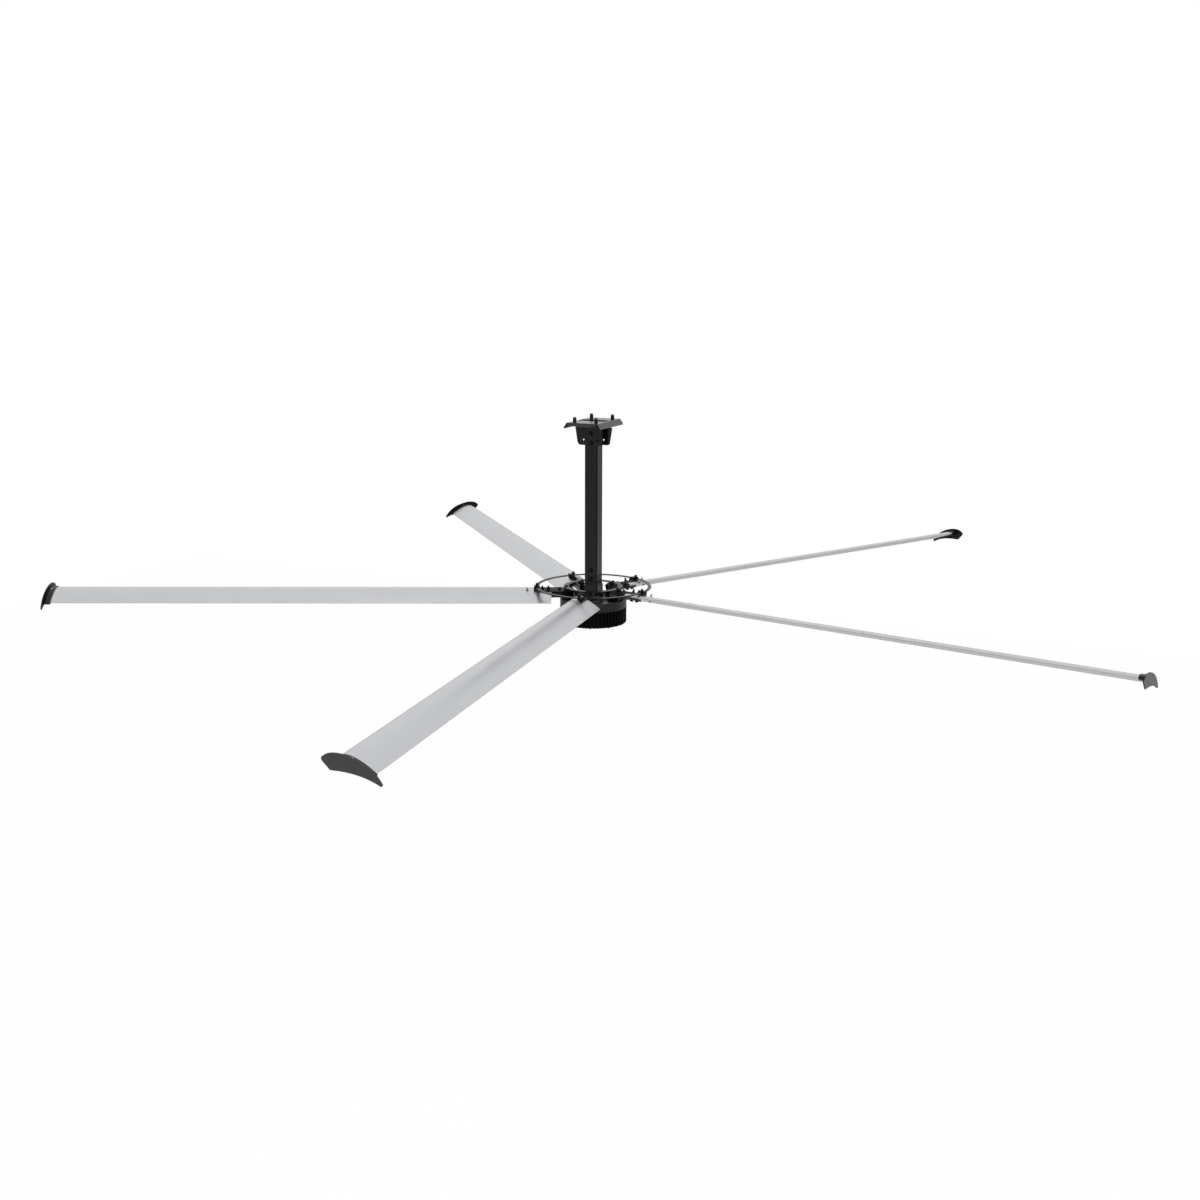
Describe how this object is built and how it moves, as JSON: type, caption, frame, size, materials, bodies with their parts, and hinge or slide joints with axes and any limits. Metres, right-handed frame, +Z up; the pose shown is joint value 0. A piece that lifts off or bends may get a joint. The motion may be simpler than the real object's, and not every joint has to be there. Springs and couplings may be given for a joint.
{
  "type": "industrial ceiling fan",
  "caption": "Very large slow ceiling fan: cambered aluminium blades with black winglets, clamped to a finned direct-drive motor under a square drop tube and a bolted ceiling frame.",
  "frame": {"origin": "centre of the ceiling bolts' rectangle, in the top face of the ceiling frame", "axes": "+Z up, along the spin axis and the ceiling bolts; +X across the ceiling frame's short side; +Y along its long side. The blades hang below the origin."},
  "size_m": [5.8277, 5.7713, 1.172],
  "materials": {
    "black_powder_coat": "gloss powder coat",
    "black_oxide_steel": "black oxide",
    "zinc_steel": "zinc plated",
    "grommet_rubber": "moulded",
    "turned_steel": "turned",
    "bearing_steel": "ground",
    "stator_lamination": "laminated",
    "copper_winding": "enamelled copper",
    "magnet_plating": "nickel plated",
    "painted_casting": "satin black paint",
    "blade_aluminium": "clear anodised",
    "spar_aluminium": "black anodised",
    "winglet_plastic": "moulded, semi-gloss"
  },
  "bodies": {
    "hanger": {"mounting_frame": "black_powder_coat", "hanger_yoke": "black_powder_coat", "cable_ear_left": "black_powder_coat", "cable_ear_right": "black_powder_coat", "ceiling_bolts": "black_powder_coat", "yoke_bolts": "black_oxide_steel", "drop_tube": "black_powder_coat", "adapter_cross_bolts": "black_oxide_steel", "cable_grommet": "grommet_rubber", "motor_adapter": "black_powder_coat", "adapter_bolts": "black_oxide_steel", "motor_axle": "turned_steel", "axle_nut": "turned_steel", "stator_core": "stator_lamination", "stator_windings": "copper_winding", "upper_bearing_inner": "bearing_steel", "lower_bearing_inner": "bearing_steel"},
    "rotor": {"hub_plate": "black_powder_coat", "hub_ring": "black_powder_coat", "hub_ring_bolts": "black_oxide_steel", "hub_bolts": "black_oxide_steel", "root_bolts": "black_oxide_steel", "lock_bolts": "zinc_steel", "outer_ring": "black_powder_coat", "ring_clips": "black_powder_coat", "clip_bolts": "black_oxide_steel", "rotor_band": "painted_casting", "finned_housing": "painted_casting", "bottom_cover": "painted_casting", "cover_screws": "zinc_steel", "magnets": "magnet_plating", "upper_bearing_outer": "bearing_steel", "lower_bearing_outer": "bearing_steel", "bearing_rollers": "bearing_steel", "winglet_screws": "zinc_steel", "lower_strut_1": "black_powder_coat", "upper_strut_1": "black_powder_coat", "blade_spar_1": "spar_aluminium", "blade_1": "blade_aluminium", "winglet_1": "winglet_plastic", "lower_strut_2": "black_powder_coat", "upper_strut_2": "black_powder_coat", "blade_spar_2": "spar_aluminium", "blade_2": "blade_aluminium", "winglet_2": "winglet_plastic", "lower_strut_3": "black_powder_coat", "upper_strut_3": "black_powder_coat", "blade_spar_3": "spar_aluminium", "blade_3": "blade_aluminium", "winglet_3": "winglet_plastic", "lower_strut_4": "black_powder_coat", "upper_strut_4": "black_powder_coat", "blade_spar_4": "spar_aluminium", "blade_4": "blade_aluminium", "winglet_4": "winglet_plastic", "lower_strut_5": "black_powder_coat", "upper_strut_5": "black_powder_coat", "blade_spar_5": "spar_aluminium", "blade_5": "blade_aluminium", "winglet_5": "winglet_plastic"}
  },
  "joints": [
    {"name": "rotor_spin", "type": "hinge", "parent": "hanger", "child": "rotor", "pos_m": [0, 0, -0.974], "axis": [0, 0, 1], "continuous": true}
  ]
}
